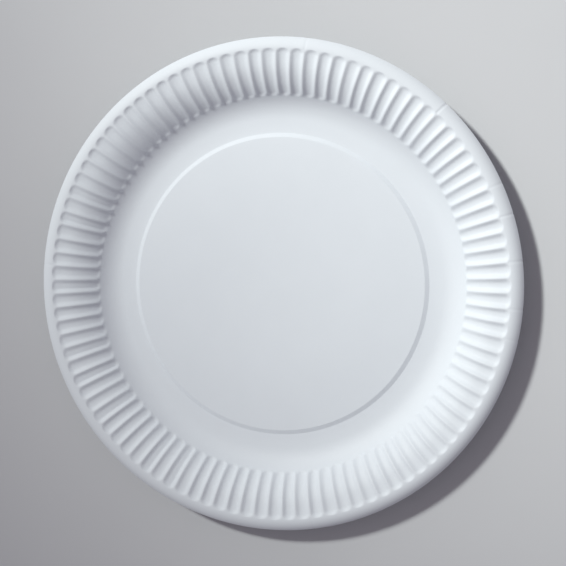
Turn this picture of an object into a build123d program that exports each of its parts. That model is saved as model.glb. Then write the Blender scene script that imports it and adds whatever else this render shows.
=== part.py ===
from build123d import *
import os
from math import atan2, cos, degrees, radians, sin, tan

os.makedirs("parts", exist_ok=True)

# A pressed paper plate, face up on its foot ring. Sizes in millimetres, slopes in degrees.
plate_diameter = 230.0
sheet = 0.4

# Raised middle panel, and the flat foot ring round it
panel_rise = 1.1
step_run = 2.2
foot_width = 6.4

# Section of the side: cove, fluted flank, then the edge rolled over outward
cove_bend = 14.95
flank_slope = 48.0
flank_bend = 27.5
crown_slope = 1.5
roll_bend = 6.6
edge_slope = 55.0

# Flutes pressed into the flank, with a plain border beyond both of their ends
flute_count = 100
flute_depth_inner = 0.6
flute_depth_outer = 0.72
flute_end = 1.5
flute_border = 0.3

flank_dir = Vector(cos(radians(flank_slope)), sin(radians(flank_slope)))
crown_dir = Vector(cos(radians(crown_slope)), sin(radians(crown_slope)))
edge_dir = Vector(cos(radians(edge_slope)), -sin(radians(edge_slope)))

# Radii of the section's corners on the front, from the edge inward
edge_radius = plate_diameter / 2
roll_start = edge_radius - roll_bend * (crown_dir.Y - edge_dir.Y)
flute_outer = roll_start - flute_border * crown_dir.X
flute_inner = flute_outer - flank_bend * (flank_dir.Y - crown_dir.Y)
cove_end = flute_inner - flute_border * flank_dir.X
foot_outer = cove_end - cove_bend * flank_dir.Y
foot_inner = foot_outer - foot_width
panel_radius = foot_inner - step_run

# Centre of the flank's bend
flute_inner_z = sheet + cove_bend * (1 - flank_dir.X) + flute_border * flank_dir.Y
flank_centre = Vector(flute_inner, flute_inner_z) + flank_bend * Vector(flank_dir.Y, -flank_dir.X)


def flank_point(slope, lift, turn=0.0):
    """A point where the flank has this slope, lifted off its front, at this turn round the axis."""
    reach = flank_bend + lift
    radius = flank_centre.X - reach * sin(radians(slope))
    height = flank_centre.Y + reach * cos(radians(slope))
    return Vector(radius * cos(radians(turn)), radius * sin(radians(turn)), height)


def flute_turn(slope, depth, lift):
    """A full turn of scallops across the flutes where the flank has this slope."""
    half = 180 / flute_count
    crest = flank_point(slope, lift, -half)
    floor = flank_point(slope, lift - depth)
    next_crest = flank_point(slope, lift, half)
    scallop = ThreePointArc(crest, floor, next_crest)
    return Wire([place * scallop for place in PolarLocations(0, flute_count)])


def flute_space(lift):
    """The space inside the fluted flank on one side of the sheet, between two level planes."""
    end_turn = degrees(flute_end / flank_bend)
    turns = [
        flute_turn(flank_slope, 0, lift),
        flute_turn(flank_slope - end_turn, flute_depth_inner, lift),
        flute_turn((flank_slope + crown_slope) / 2, (flute_depth_inner + flute_depth_outer) / 2, lift),
        flute_turn(crown_slope + end_turn, flute_depth_outer, lift),
        flute_turn(crown_slope, 0, lift),
    ]
    return Solid.make_loft(turns, ruled=True)


front_flutes = flute_space(0)
back_flutes = flute_space(-sheet)

# Space above the front of the sheet
with BuildPart() as front_space:
    with BuildSketch(Plane.XZ):
        with BuildLine():
            panel = Line((0, sheet + panel_rise), (panel_radius, sheet + panel_rise))
            step = Line(panel @ 1, (foot_inner, sheet))
            foot = Line(step @ 1, (foot_outer, sheet))
            cove = JernArc(foot @ 1, (1, 0), cove_bend, flank_slope)
            border = Line(cove @ 1, cove @ 1 + flute_border * flank_dir)
            Polyline(border @ 1, (0, (border @ 1).Y), panel @ 0)
        make_face()
    revolve(axis=Axis.Z)
    add(front_flutes)
    with BuildSketch(Plane.XZ):
        with BuildLine():
            flute_top = flank_point(crown_slope, 0)
            level = Line((0, flute_top.Z), (flute_top.X, flute_top.Z))
            border = Line(level @ 1, level @ 1 + flute_border * crown_dir)
            roll = JernArc(border @ 1, crown_dir, roll_bend, -crown_slope - edge_slope)
            beyond = (plate_diameter, (roll @ 1).Y)
            Polyline(roll @ 1, beyond, (plate_diameter, plate_diameter), (0, plate_diameter), level @ 0)
        make_face()
    revolve(axis=Axis.Z)

# Space above the back of the sheet, cut away down to the front
with BuildPart() as plate:
    with BuildSketch(Plane.XZ):
        with BuildLine():
            corner_shift = sheet * tan(atan2(panel_rise, step_run) / 2)
            panel = Line((0, panel_rise), (panel_radius - corner_shift, panel_rise))
            step = Line(panel @ 1, (foot_inner - corner_shift, 0))
            foot = Line(step @ 1, (foot_outer, 0))
            cove = JernArc(foot @ 1, (1, 0), cove_bend + sheet, flank_slope)
            border = Line(cove @ 1, cove @ 1 + flute_border * flank_dir)
            Polyline(border @ 1, (0, (border @ 1).Y), panel @ 0)
        make_face()
    revolve(axis=Axis.Z)
    add(back_flutes)
    with BuildSketch(Plane.XZ):
        with BuildLine():
            flute_top = flank_point(crown_slope, -sheet)
            level = Line((0, flute_top.Z), (flute_top.X, flute_top.Z))
            border = Line(level @ 1, level @ 1 + flute_border * crown_dir)
            roll = JernArc(border @ 1, crown_dir, roll_bend - sheet, -crown_slope - edge_slope)
            rim = Line(roll @ 1, roll @ 1 + sheet * Vector(-edge_dir.Y, edge_dir.X))
            Polyline(rim @ 1, (edge_radius, edge_radius), (0, edge_radius), level @ 0)
        make_face()
    revolve(axis=Axis.Z)
    add(front_space.part, mode=Mode.SUBTRACT)

plate.part.label = "plate"
export_step(plate.part, "parts/plate.step")
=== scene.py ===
import math
import random

import bmesh
import bpy
from bpy.props import FloatProperty, FloatVectorProperty, IntProperty, PointerProperty
from mathutils import Matrix, Vector


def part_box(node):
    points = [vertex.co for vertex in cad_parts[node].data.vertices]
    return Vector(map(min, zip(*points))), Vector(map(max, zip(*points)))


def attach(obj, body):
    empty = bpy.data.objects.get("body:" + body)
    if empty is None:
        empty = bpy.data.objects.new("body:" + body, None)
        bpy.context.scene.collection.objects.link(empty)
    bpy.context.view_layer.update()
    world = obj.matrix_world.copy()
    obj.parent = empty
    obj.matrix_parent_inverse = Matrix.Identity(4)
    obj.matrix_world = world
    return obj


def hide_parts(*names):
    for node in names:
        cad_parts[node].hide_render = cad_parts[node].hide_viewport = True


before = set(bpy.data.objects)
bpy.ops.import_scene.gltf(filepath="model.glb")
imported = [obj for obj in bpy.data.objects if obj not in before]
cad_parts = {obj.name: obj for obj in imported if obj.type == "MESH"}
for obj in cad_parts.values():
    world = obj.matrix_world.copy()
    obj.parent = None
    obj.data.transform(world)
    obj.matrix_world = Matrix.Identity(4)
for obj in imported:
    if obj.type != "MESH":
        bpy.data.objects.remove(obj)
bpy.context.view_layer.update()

bl_info = {
    "name": "Fluted paper plate",
    "version": (1, 0, 0),
    "blender": (4, 5, 0),
    "location": "3D View > Sidebar > Paper plate",
    "description": "Presses a fluted paper plate and lays it on a plain floor in studio light",
    "category": "Add Mesh",
}

PLATE_LOW, PLATE_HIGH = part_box("plate")

# Points closer than this are one point, in metres
MERGE_DISTANCE = 1e-6

# Edges that turn further than this are drawn sharp
SHARP_ANGLE = math.radians(80)

# Places of the columns of points across one flute, from a crest to the next
FLUTE_COLUMNS = (0.0, 0.08, 0.17, 0.27, 0.38, 0.5, 0.62, 0.73, 0.83, 0.92)

# How broad the floor of a flute is at its inner end, and what its outer half and its outer tip add
FLOOR_BREADTH = 1.3
OUTER_BREADTH = 0.5
TIP_BREADTH = 0.7

# Power of the change from the inner to the outer depth: below 1, most of it comes near the inner end
DEPTH_POWER = 0.6

# Length over which the flutes get shallower at their outer ends, in lengths of the outer tip
FADE_TIPS = 2

# Seed of the flutes' unevenness, and how far a crest may stray, as a share of a flute's width
CHANCE_SEED = 23
CREST_STRAY = 0.04

# Fine folds along single flutes: degrees round from +X
FLUTE_FOLDS = (243.0, 235.0, 217.0, 206.0, 200.0, 182.0, 164.0, 157.0)

# Depth of a fold as a share of its flute's, then its place and widths as shares of the flute's width
FOLD_DEPTH = 0.28
FOLD_PLACE = 0.73
FOLD_NEAR_WIDTH = 0.23
FOLD_FAR_WIDTH = 0.1

# Fine creases over the rolled edge: degrees round from +X, and depth in metres
EDGE_CREASES = (
    (81.0, 0.00010),
    (46.0, 0.00026),
    (23.0, 0.00012),
    (16.0, 0.00018),
    (5.0, 0.00014),
    (-5.0, 0.00012),
    (-11.0, 0.00010),
    (-81.0, 0.00010),
    (176.0, 0.00010),
)

# Weights of the noises in the board's tint, and what is taken off their sum
CLOUD_TINT = 0.9
FIBRE_TINT = 0.5
TINT_CUT = 0.2

# Weights of the noises in the board's relief
FIBRE_RELIEF = 0.6
TOOTH_RELIEF = 0.4

# How far the fibres change the board's roughness, and the value of their noise that leaves it as it is
ROUGHNESS_SWING = 0.18
NOISE_MIDDLE = 0.5

# Brightness of the floor's darker grain, as a share of its colour
FLOOR_GRAIN = 0.95

# Sockets of a Mix node that mixes colours
MIX_FACTOR, MIX_FIRST, MIX_SECOND, MIX_RESULT = 0, 6, 7, 2

# Width of the camera's sensor in millimetres, and the nearest that the camera sees in metres
SENSOR_WIDTH = 36.0
CLIP_START = 0.01


class PlateSizes(bpy.types.PropertyGroup):
    """Sizes of the pressed sheet"""

    edge_radius: FloatProperty(
        name="Edge radius",
        description="From the axis to the edge of the sheet",
        default=(PLATE_HIGH.x - PLATE_LOW.x) / 2,
        unit="LENGTH",
    )
    sheet: FloatProperty(
        name="Sheet",
        description="Thickness of the paperboard",
        default=0.0004,
        precision=5,
        unit="LENGTH",
    )
    panel_rise: FloatProperty(
        name="Panel rise",
        description="How far the middle panel stands above the foot ring",
        default=0.0011,
        precision=5,
        unit="LENGTH",
    )
    step_slope: FloatProperty(
        name="Step slope",
        description="Slope of the step round the middle panel",
        default=math.radians(29),
        subtype="ANGLE",
    )
    step_bend: FloatProperty(
        name="Step bend",
        description="Radius of the step's two bends",
        default=0.0006,
        precision=5,
        unit="LENGTH",
    )
    foot_width: FloatProperty(
        name="Foot width",
        description="Width of the flat ring that the plate lies on",
        default=0.0064,
        precision=5,
        unit="LENGTH",
    )
    cove_bend: FloatProperty(
        name="Cove bend",
        description="Radius of the bend from the foot up to the flank",
        default=0.01495,
        precision=5,
        unit="LENGTH",
    )
    flank_slope: FloatProperty(
        name="Flank slope",
        description="Slope of the flank where the cove ends and its own bend starts",
        default=math.radians(48),
        subtype="ANGLE",
    )
    flank_bend: FloatProperty(
        name="Flank bend",
        description="Radius of the fluted flank's bend",
        default=0.0275,
        precision=5,
        unit="LENGTH",
    )
    crown_slope: FloatProperty(
        name="Crown slope",
        description="Slope of the flank where its bend ends and the edge starts to roll over",
        default=math.radians(1.5),
        subtype="ANGLE",
    )
    roll_bend: FloatProperty(
        name="Roll bend",
        description="Radius of the edge where it rolls over outward",
        default=0.0066,
        precision=5,
        unit="LENGTH",
    )
    edge_slope: FloatProperty(
        name="Edge slope",
        description="Fall of the sheet at its edge",
        default=math.radians(55),
        subtype="ANGLE",
    )
    flute_count: IntProperty(name="Flutes", description="Flutes round the rim", default=100)
    flute_turn: FloatProperty(
        name="Flute turn",
        description="Turn of the first flute from +X",
        default=math.radians(0.8),
        subtype="ANGLE",
    )
    flute_border: FloatProperty(
        name="Flute border",
        description="Straight strip of the section beyond both ends of the flank's bend",
        default=0.0003,
        precision=5,
        unit="LENGTH",
    )
    inner_reach: FloatProperty(
        name="Inner reach",
        description="How far the soft inner ends of the flutes run on down the cove",
        default=0.0016,
        precision=5,
        unit="LENGTH",
    )
    outer_reach: FloatProperty(
        name="Outer reach",
        description="How far the soft outer ends of the flutes run on over the crown",
        default=0.0006,
        precision=5,
        unit="LENGTH",
    )
    depth_inner: FloatProperty(
        name="Inner depth",
        description="Depth of the flutes at their inner ends",
        default=0.00062,
        precision=5,
        unit="LENGTH",
    )
    depth_outer: FloatProperty(
        name="Outer depth",
        description="Depth of the flutes at their outer ends, before the outer fade",
        default=0.00132,
        precision=5,
        unit="LENGTH",
    )
    tip_inner: FloatProperty(
        name="Inner tip",
        description="Length of the rounded inner end of a flute",
        default=0.0028,
        precision=5,
        unit="LENGTH",
    )
    tip_outer: FloatProperty(
        name="Outer tip",
        description="Length of the rounded outer end of a flute",
        default=0.0027,
        precision=5,
        unit="LENGTH",
    )
    inner_lift: FloatProperty(
        name="Inner lift",
        description="How far the inner halves of the flutes stand up, as a share of their depth",
        default=0.4,
        subtype="FACTOR",
    )
    outer_fade: FloatProperty(
        name="Outer fade",
        description="How much shallower the flutes get at their outer ends, as a share of their depth",
        default=0.42,
        subtype="FACTOR",
    )
    unevenness: FloatProperty(
        name="Unevenness",
        description="How much the flutes differ from each other, as a share of their depth",
        default=0.10,
        subtype="FACTOR",
    )


class PaperFinish(bpy.types.PropertyGroup):
    """Look of the paperboard"""

    white: FloatVectorProperty(
        name="White",
        description="Colour of the board",
        subtype="COLOR",
        default=(0.773, 0.815, 0.86),
    )
    shade: FloatVectorProperty(
        name="Shade",
        description="Colour of the darker clouds in the board",
        subtype="COLOR",
        default=(0.744, 0.785, 0.83),
    )
    roughness: FloatProperty(
        name="Roughness",
        description="Roughness of the board",
        default=0.55,
        subtype="FACTOR",
    )


class StageSettings(bpy.types.PropertyGroup):
    """Floor, light and camera"""

    floor: FloatVectorProperty(
        name="Floor",
        description="Colour of the floor",
        subtype="COLOR",
        default=(0.62, 0.63, 0.65),
    )
    floor_reach: FloatProperty(
        name="Floor reach",
        description="From the middle of the floor to its sides",
        default=4.0,
        unit="LENGTH",
    )
    key_power: FloatProperty(
        name="Key power",
        description="Power of the large soft lamp",
        default=1.265,
        unit="POWER",
    )
    key_colour: FloatVectorProperty(
        name="Key colour",
        description="Colour of the large soft lamp",
        subtype="COLOR",
        default=(0.97, 1.0, 0.958),
    )
    key_size: FloatProperty(
        name="Key size",
        description="Diameter of the large soft lamp",
        default=0.5,
        unit="LENGTH",
    )
    key_spread: FloatProperty(
        name="Key spread",
        description="Angle within which the large soft lamp shines, so that it fades away from its aim",
        default=math.radians(14.5),
        subtype="ANGLE",
    )
    key_place: FloatVectorProperty(
        name="Key place",
        description="Middle of the large soft lamp",
        subtype="XYZ",
        unit="LENGTH",
        default=(-1.745, 1.872, 2.742),
    )
    key_aim: FloatVectorProperty(
        name="Key aim",
        description="Point that the large soft lamp shines at, where it is brightest",
        subtype="XYZ",
        unit="LENGTH",
        default=(0.151, 0.131, 0.0),
    )
    fill: FloatProperty(
        name="Fill",
        description="Strength of the even light from all round",
        default=0.28,
    )
    fill_colour: FloatVectorProperty(
        name="Fill colour",
        description="Colour of the even light from all round",
        subtype="COLOR",
        default=(0.965, 0.90, 1.0),
    )
    camera_place: FloatVectorProperty(
        name="Camera place",
        description="Where the camera stands",
        subtype="XYZ",
        unit="LENGTH",
        default=(0.1427, 0.0332, 0.5833),
    )
    camera_aim: FloatVectorProperty(
        name="Camera aim",
        description="Point in the middle of the picture",
        subtype="XYZ",
        unit="LENGTH",
        default=(0.00196, 0.00067, 0.0),
    )
    lens: FloatProperty(
        name="Lens",
        description="Focal length of the camera in millimetres",
        default=80.6,
    )


class Socket:
    """A socket of a material, so that sums and products of sockets read as such."""

    def __init__(self, tree, socket=None):
        self.tree = tree
        self.socket = socket

    def node(self, kind, settings=None, inputs=None, out=0):
        """Adds a node, sets it up, fills or links its inputs, and gives one of its outputs."""
        made = self.tree.nodes.new(kind)
        for name, value in (settings or {}).items():
            setattr(made, name, value)
        for name, value in (inputs or {}).items():
            if isinstance(value, Socket):
                self.tree.links.new(value.socket, made.inputs[name])
            else:
                made.inputs[name].default_value = value
        return Socket(self.tree, made.outputs[out] if made.outputs else None)

    def noise(self, scale, detail, roughness=0.5, distortion=0.0):
        """Noise at the coordinates that this socket gives."""
        return self.node(
            "ShaderNodeTexNoise",
            {"noise_dimensions": "3D"},
            {
                "Vector": self,
                "Scale": scale,
                "Detail": detail,
                "Roughness": roughness,
                "Distortion": distortion,
            },
            out="Fac",
        )

    def mix(self, first, second):
        """Mixes two colours: the first where this socket is 0, the second where it is 1."""
        return self.node(
            "ShaderNodeMix",
            {"data_type": "RGBA", "clamp_factor": True},
            {MIX_FACTOR: self, MIX_FIRST: (*first, 1.0), MIX_SECOND: (*second, 1.0)},
            out=MIX_RESULT,
        )

    def maths(self, operation, first, second):
        """Adds a Math node."""
        return self.node("ShaderNodeMath", {"operation": operation}, {0: first, 1: second})

    def __add__(self, other):
        return self.maths("ADD", self, other)

    __radd__ = __add__

    def __sub__(self, other):
        return self.maths("SUBTRACT", self, other)

    def __rsub__(self, other):
        return self.maths("SUBTRACT", other, self)

    def __mul__(self, other):
        return self.maths("MULTIPLY", self, other)

    __rmul__ = __mul__


def new_material(name):
    """An empty material, and its Object coordinates as the first socket."""
    material = bpy.data.materials.new(name)
    material.use_nodes = True
    material.node_tree.nodes.clear()
    place = Socket(material.node_tree).node("ShaderNodeTexCoord", out="Object")
    return material, place


def paper_material(finish):
    """White pressed board: faint clouds and fibres in the colour, a fine tooth, a dull gloss."""
    material, place = new_material("pressed_paper")
    clouds = place.noise(scale=60.0, detail=3.0)
    fibres = place.noise(scale=900.0, detail=4.0, roughness=0.6, distortion=0.8)
    tooth = place.noise(scale=2600.0, detail=2.0)
    darker = clouds * CLOUD_TINT + fibres * FIBRE_TINT - TINT_CUT
    relief = fibres * FIBRE_RELIEF + tooth * TOOTH_RELIEF
    bump = place.node("ShaderNodeBump", None, {"Strength": 0.25, "Distance": 0.00004, "Height": relief})
    board = place.node(
        "ShaderNodeBsdfPrincipled",
        None,
        {
            "Base Color": darker.mix(finish.white, finish.shade),
            "Roughness": finish.roughness + (fibres - NOISE_MIDDLE) * ROUGHNESS_SWING,
            "Specular IOR Level": 0.25,
            "Normal": bump,
        },
    )
    place.node("ShaderNodeOutputMaterial", None, {"Surface": board})
    return material


class SectionPen:
    """Draws the section of the sheet's front in the XZ plane by moving one point."""

    def __init__(self, bm, radius, height):
        self.bm = bm
        self.tip = bm.verts.new((radius, 0, height))

    def run(self, length, slope, steps=1):
        """Draws a straight run at this slope."""
        move = Vector((math.cos(slope), 0, math.sin(slope))) * (length / steps)
        for _ in range(steps):
            made = bmesh.ops.extrude_vert_indiv(self.bm, verts=[self.tip])
            self.tip = made["verts"][0]
            self.tip.co += move

    def bend(self, radius, slope, turn, steps):
        """Draws a bend that starts at this slope and turns up, or down if turn is below zero."""
        side = math.copysign(radius, turn)
        centre = self.tip.co + side * Vector((-math.sin(slope), 0, math.cos(slope)))
        made = bmesh.ops.spin(
            self.bm,
            geom=[self.tip],
            cent=centre,
            axis=(0, 1, 0),
            dvec=(0, 0, 0),
            angle=-turn,
            steps=steps,
        )
        self.tip = made["geom_last"][0]


def draw_section(bm, sizes):
    """Draws the front of the sheet from the axis to the edge. Gives the radii of the flank's two ends."""
    crown_sine = math.sin(sizes.crown_slope)
    flank_sine = math.sin(sizes.flank_slope)
    step_sine = math.sin(sizes.step_slope)
    step_cosine = math.cos(sizes.step_slope)
    flank_outer = (
        sizes.edge_radius
        - sizes.roll_bend * (crown_sine + math.sin(sizes.edge_slope))
        - sizes.flute_border * math.cos(sizes.crown_slope)
    )
    flank_inner = flank_outer - sizes.flank_bend * (flank_sine - crown_sine)
    foot_outer = (
        flank_inner - sizes.flute_border * math.cos(sizes.flank_slope) - sizes.cove_bend * flank_sine
    )
    step_straight = (sizes.panel_rise - 2 * sizes.step_bend * (1 - step_cosine)) / step_sine
    step_run = 2 * sizes.step_bend * step_sine + step_straight * step_cosine
    panel_radius = foot_outer - sizes.foot_width - step_run

    # Turn of each part of the bends, which are divided where the flutes and their rounded tips end
    tip_inner = (sizes.tip_inner - sizes.inner_reach) / sizes.flank_bend
    tip_outer = (sizes.tip_outer - sizes.outer_reach) / sizes.flank_bend
    body = sizes.flank_slope - sizes.crown_slope - tip_inner - tip_outer
    inner_reach = (sizes.inner_reach - sizes.flute_border) / sizes.cove_bend
    outer_reach = (sizes.outer_reach - sizes.flute_border) / sizes.roll_bend
    roll_slope = sizes.crown_slope - outer_reach

    pen = SectionPen(bm, 0, sizes.sheet + sizes.panel_rise)
    pen.run(panel_radius, 0, steps=2)
    pen.bend(sizes.step_bend, 0, -sizes.step_slope, steps=2)
    pen.run(step_straight, -sizes.step_slope)
    pen.bend(sizes.step_bend, -sizes.step_slope, sizes.step_slope, steps=2)
    pen.run(sizes.foot_width, 0)
    pen.bend(sizes.cove_bend, 0, sizes.flank_slope - inner_reach, steps=7)
    pen.bend(sizes.cove_bend, sizes.flank_slope - inner_reach, inner_reach, steps=4)
    pen.run(sizes.flute_border, sizes.flank_slope)
    pen.bend(sizes.flank_bend, sizes.flank_slope, -tip_inner, steps=3)
    pen.bend(sizes.flank_bend, sizes.flank_slope - tip_inner, -body, steps=8)
    pen.bend(sizes.flank_bend, sizes.crown_slope + tip_outer, -tip_outer, steps=6)
    pen.run(sizes.flute_border, sizes.crown_slope)
    pen.bend(sizes.roll_bend, sizes.crown_slope, -outer_reach, steps=2)
    pen.bend(sizes.roll_bend, roll_slope, -roll_slope - sizes.edge_slope, steps=8)
    return flank_inner, flank_outer


def flank_length(sizes):
    """Length of the flank's bend along the sheet."""
    return sizes.flank_bend * (sizes.flank_slope - sizes.crown_slope)


def along_flute(sizes, flank_inner, flank_outer, radius):
    """Distance along the sheet from the inner ends of the flutes out to this radius."""
    if radius < flank_inner:
        return sizes.inner_reach - (flank_inner - radius) / math.cos(sizes.flank_slope)
    if radius < flank_outer:
        centre_radius = flank_inner + sizes.flank_bend * math.sin(sizes.flank_slope)
        slope = math.asin((centre_radius - radius) / sizes.flank_bend)
        return sizes.inner_reach + sizes.flank_bend * (sizes.flank_slope - slope)
    return sizes.inner_reach + flank_length(sizes) + radius - flank_outer


def flute_press(sizes, from_inner, share, deeper, fold_depth):
    """How deep the sheet is pressed, this far along a flute and this share of the way across it."""
    length = sizes.inner_reach + flank_length(sizes) + sizes.outer_reach
    if not 0 < from_inner < length:
        return 0.0
    along = from_inner / length
    from_outer = length - from_inner
    inner_tip = max(0, 1 - from_inner / sizes.tip_inner)
    outer_tip = max(0, 1 - from_outer / sizes.tip_outer)
    tip = inner_tip + outer_tip

    # From 1 on the flute's floor to 0 at its crests and rounded ends
    breadth = FLOOR_BREADTH + OUTER_BREADTH * min(1, 2 * along) + TIP_BREADTH * outer_tip
    from_floor = min(1, math.hypot(abs(2 * share - 1), tip))
    dip = (1 + math.cos(math.pi * from_floor**breadth)) / 2

    # The inner half stands up, less in its rounded end and less and less over the outer half
    lift_end = max(inner_tip, 2 * along - 1)
    lift = sizes.inner_lift * (1 + math.cos(math.pi * lift_end)) / 2

    depth = sizes.depth_inner + (sizes.depth_outer - sizes.depth_inner) * along**DEPTH_POWER
    outer_end = max(0, 1 - from_outer / (FADE_TIPS * sizes.tip_outer))
    depth *= 1 - sizes.outer_fade * (1 - math.cos(math.pi * outer_end)) / 2

    fold_near = 1 - (FOLD_PLACE - share) / FOLD_NEAR_WIDTH
    fold_far = 1 - (share - FOLD_PLACE) / FOLD_FAR_WIDTH
    fold = fold_depth * max(0, min(fold_near, fold_far, 1 - tip))
    return depth * (deeper * dip - lift + fold)


def turn_from(angle, other):
    """Smallest turn between two angles, in radians."""
    return abs((angle - other + math.pi) % (2 * math.pi) - math.pi)


def find_marks(sizes, pitch):
    """Gives each flute the depth of the fold along it and of the crease beyond its first crest."""
    folds = [0.0] * sizes.flute_count
    creases = [0.0] * sizes.flute_count
    for flute in range(sizes.flute_count):
        crest = sizes.flute_turn + (flute - 0.5) * pitch
        for degrees in FLUTE_FOLDS:
            if turn_from(crest + pitch / 2, math.radians(degrees)) < pitch / 2:
                folds[flute] = FOLD_DEPTH
        for degrees, depth in EDGE_CREASES:
            if turn_from(crest, math.radians(degrees)) < pitch / 2:
                creases[flute] = depth
    return folds, creases


def press_flutes(bm, sizes, flank_inner, flank_outer):
    """Presses the flutes into the flank and the creases into the rolled edge."""
    columns = len(FLUTE_COLUMNS)
    pitch = 2 * math.pi / sizes.flute_count
    chance = random.Random(CHANCE_SEED)
    deeper = [1 + sizes.unevenness * chance.uniform(-1, 1) for _ in range(sizes.flute_count)]
    crest_shift = [CREST_STRAY * chance.uniform(-1, 1) for _ in range(sizes.flute_count)]
    folds, creases = find_marks(sizes, pitch)

    bm.normal_update()
    for point in bm.verts:
        radius = math.hypot(point.co.x, point.co.y)
        if radius < MERGE_DISTANCE:
            continue
        turn = math.atan2(point.co.y, point.co.x) % (2 * math.pi)
        column = round(turn / pitch * columns) % (sizes.flute_count * columns)
        flute, column = divmod(column, columns)
        following = (flute + 1) % sizes.flute_count
        share = FLUTE_COLUMNS[column]

        # Where the point comes to lie across the flute, with the crests a little out of place
        shift = crest_shift[flute] * (1 - share) + crest_shift[following] * share
        new_turn = sizes.flute_turn + (flute - 0.5 + share + shift) * pitch
        place = Vector((radius * math.cos(new_turn), radius * math.sin(new_turn), point.co.z))

        from_inner = along_flute(sizes, flank_inner, flank_outer, radius)
        press = flute_press(sizes, from_inner, share, deeper[flute], folds[flute])
        if radius >= flank_outer and column == 0:
            press += creases[flute]
        normal = Matrix.Rotation(new_turn - turn, 3, "Z") @ point.normal
        point.co = place - normal * press


def press_plate(sizes):
    """The whole plate: its section turned round the axis, fluted, and given its thickness."""
    bm = bmesh.new()
    flank_inner, flank_outer = draw_section(bm, sizes)
    bmesh.ops.spin(
        bm,
        geom=bm.verts[:] + bm.edges[:],
        cent=(0, 0, 0),
        axis=(0, 0, 1),
        dvec=(0, 0, 0),
        angle=2 * math.pi,
        steps=sizes.flute_count * len(FLUTE_COLUMNS),
        use_merge=True,
    )
    bmesh.ops.remove_doubles(bm, verts=bm.verts[:], dist=MERGE_DISTANCE)
    bmesh.ops.recalc_face_normals(bm, faces=bm.faces[:])
    if sum(face.normal.z for face in bm.faces) < 0:
        bmesh.ops.reverse_faces(bm, faces=bm.faces[:])
    press_flutes(bm, sizes, flank_inner, flank_outer)
    bm.normal_update()
    bmesh.ops.solidify(bm, geom=bm.faces[:], thickness=sizes.sheet)
    for face in bm.faces:
        face.smooth = True
    mesh = bpy.data.meshes.new("paper_plate")
    bm.to_mesh(mesh)
    bm.free()
    mesh.set_sharp_from_angle(angle=SHARP_ANGLE)
    return mesh


class PLATE_OT_press(bpy.types.Operator):
    """Press the paper plate"""

    bl_idname = "paper_plate.press"
    bl_label = "Press plate"

    def execute(self, context):
        piece = bpy.data.objects.new("paper_plate", press_plate(context.scene.plate_sizes))
        context.scene.collection.objects.link(piece)
        piece.data.materials.append(paper_material(context.scene.paper_finish))
        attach(piece, "root")
        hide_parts("plate")
        return {"FINISHED"}


def floor_material(colour):
    """Plain matt floor, with a trace of grain."""
    material, place = new_material("studio_floor")
    grain = place.noise(scale=14.0, detail=4.0)
    tint = grain.mix(colour, [FLOOR_GRAIN * share for share in colour])
    matt = place.node(
        "ShaderNodeBsdfPrincipled",
        None,
        {"Base Color": tint, "Roughness": 0.9, "Specular IOR Level": 0.1},
    )
    place.node("ShaderNodeOutputMaterial", None, {"Surface": matt})
    return material


def lay_floor(scene, stage):
    """Lays a plain floor, far wider than the picture."""
    bm = bmesh.new()
    bmesh.ops.create_grid(bm, x_segments=1, y_segments=1, size=stage.floor_reach)
    mesh = bpy.data.meshes.new("studio_floor")
    bm.to_mesh(mesh)
    bm.free()
    mesh.materials.append(floor_material(stage.floor))
    floor = bpy.data.objects.new("studio_floor", mesh)
    scene.collection.objects.link(floor)


def place_aimed(scene, name, data, place, aim):
    """Puts a lamp or camera at this place, looking at this point with +Y up. Gives its object."""
    back = (Vector(place) - Vector(aim)).normalized()
    right = Vector((0, 1, 0)).cross(back).normalized()
    up = back.cross(right)
    aimed = bpy.data.objects.new(name, data)
    aimed.location = place
    aimed.rotation_euler = Matrix((right, up, back)).transposed().to_euler()
    scene.collection.objects.link(aimed)
    return aimed


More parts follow.
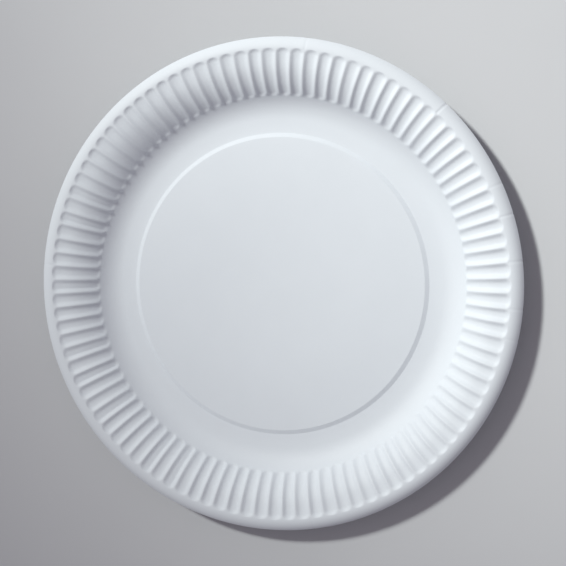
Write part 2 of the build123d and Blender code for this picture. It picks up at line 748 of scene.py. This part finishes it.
def hang_lights(scene, stage):
    """Hangs the large soft lamp, and lights the world evenly from all round."""
    key = bpy.data.lights.new("key", "AREA")
    key.shape = "DISK"
    key.size = stage.key_size
    key.spread = stage.key_spread
    key.energy = stage.key_power
    key.color = stage.key_colour
    place_aimed(scene, "key", key, stage.key_place, stage.key_aim)

    world = bpy.data.worlds.new("studio")
    world.use_nodes = True
    sky = world.node_tree.nodes["Background"]
    sky.inputs["Color"].default_value = (*stage.fill_colour, 1.0)
    sky.inputs["Strength"].default_value = stage.fill
    scene.world = world


def set_camera(scene, stage):
    """Sets up the camera that looks down on the plate."""
    camera = bpy.data.cameras.new("camera")
    camera.sensor_width = SENSOR_WIDTH
    camera.lens = stage.lens
    camera.clip_start = CLIP_START
    scene.camera = place_aimed(scene, "camera", camera, stage.camera_place, stage.camera_aim)


class PLATE_OT_stage(bpy.types.Operator):
    """Set up the floor, the lights and the camera"""

    bl_idname = "paper_plate.stage"
    bl_label = "Set stage"

    def execute(self, context):
        scene = context.scene
        lay_floor(scene, scene.plate_stage)
        hang_lights(scene, scene.plate_stage)
        set_camera(scene, scene.plate_stage)
        scene.view_settings.view_transform = "Standard"
        return {"FINISHED"}


class PLATE_PT_sidebar(bpy.types.Panel):
    """Sizes and finish of the paper plate, and its stage"""

    bl_idname = "PLATE_PT_sidebar"
    bl_label = "Paper plate"
    bl_space_type = "VIEW_3D"
    bl_region_type = "UI"
    bl_category = "Paper plate"

    def draw(self, context):
        scene = context.scene
        for group, operator in (
            (scene.plate_sizes, None),
            (scene.paper_finish, "paper_plate.press"),
            (scene.plate_stage, "paper_plate.stage"),
        ):
            box = self.layout.box()
            for name in group.bl_rna.properties.keys():
                if name not in ("rna_type", "name"):
                    box.prop(group, name)
            if operator:
                box.operator(operator)


CLASSES = (PlateSizes, PaperFinish, StageSettings, PLATE_OT_press, PLATE_OT_stage, PLATE_PT_sidebar)


def register():
    for item in CLASSES:
        bpy.utils.register_class(item)
    bpy.types.Scene.plate_sizes = PointerProperty(type=PlateSizes)
    bpy.types.Scene.paper_finish = PointerProperty(type=PaperFinish)
    bpy.types.Scene.plate_stage = PointerProperty(type=StageSettings)


def unregister():
    del bpy.types.Scene.plate_stage
    del bpy.types.Scene.paper_finish
    del bpy.types.Scene.plate_sizes
    for item in reversed(CLASSES):
        bpy.utils.unregister_class(item)


def main():
    register()
    bpy.ops.paper_plate.press()
    bpy.ops.paper_plate.stage()


if __name__ == "__main__":
    main()
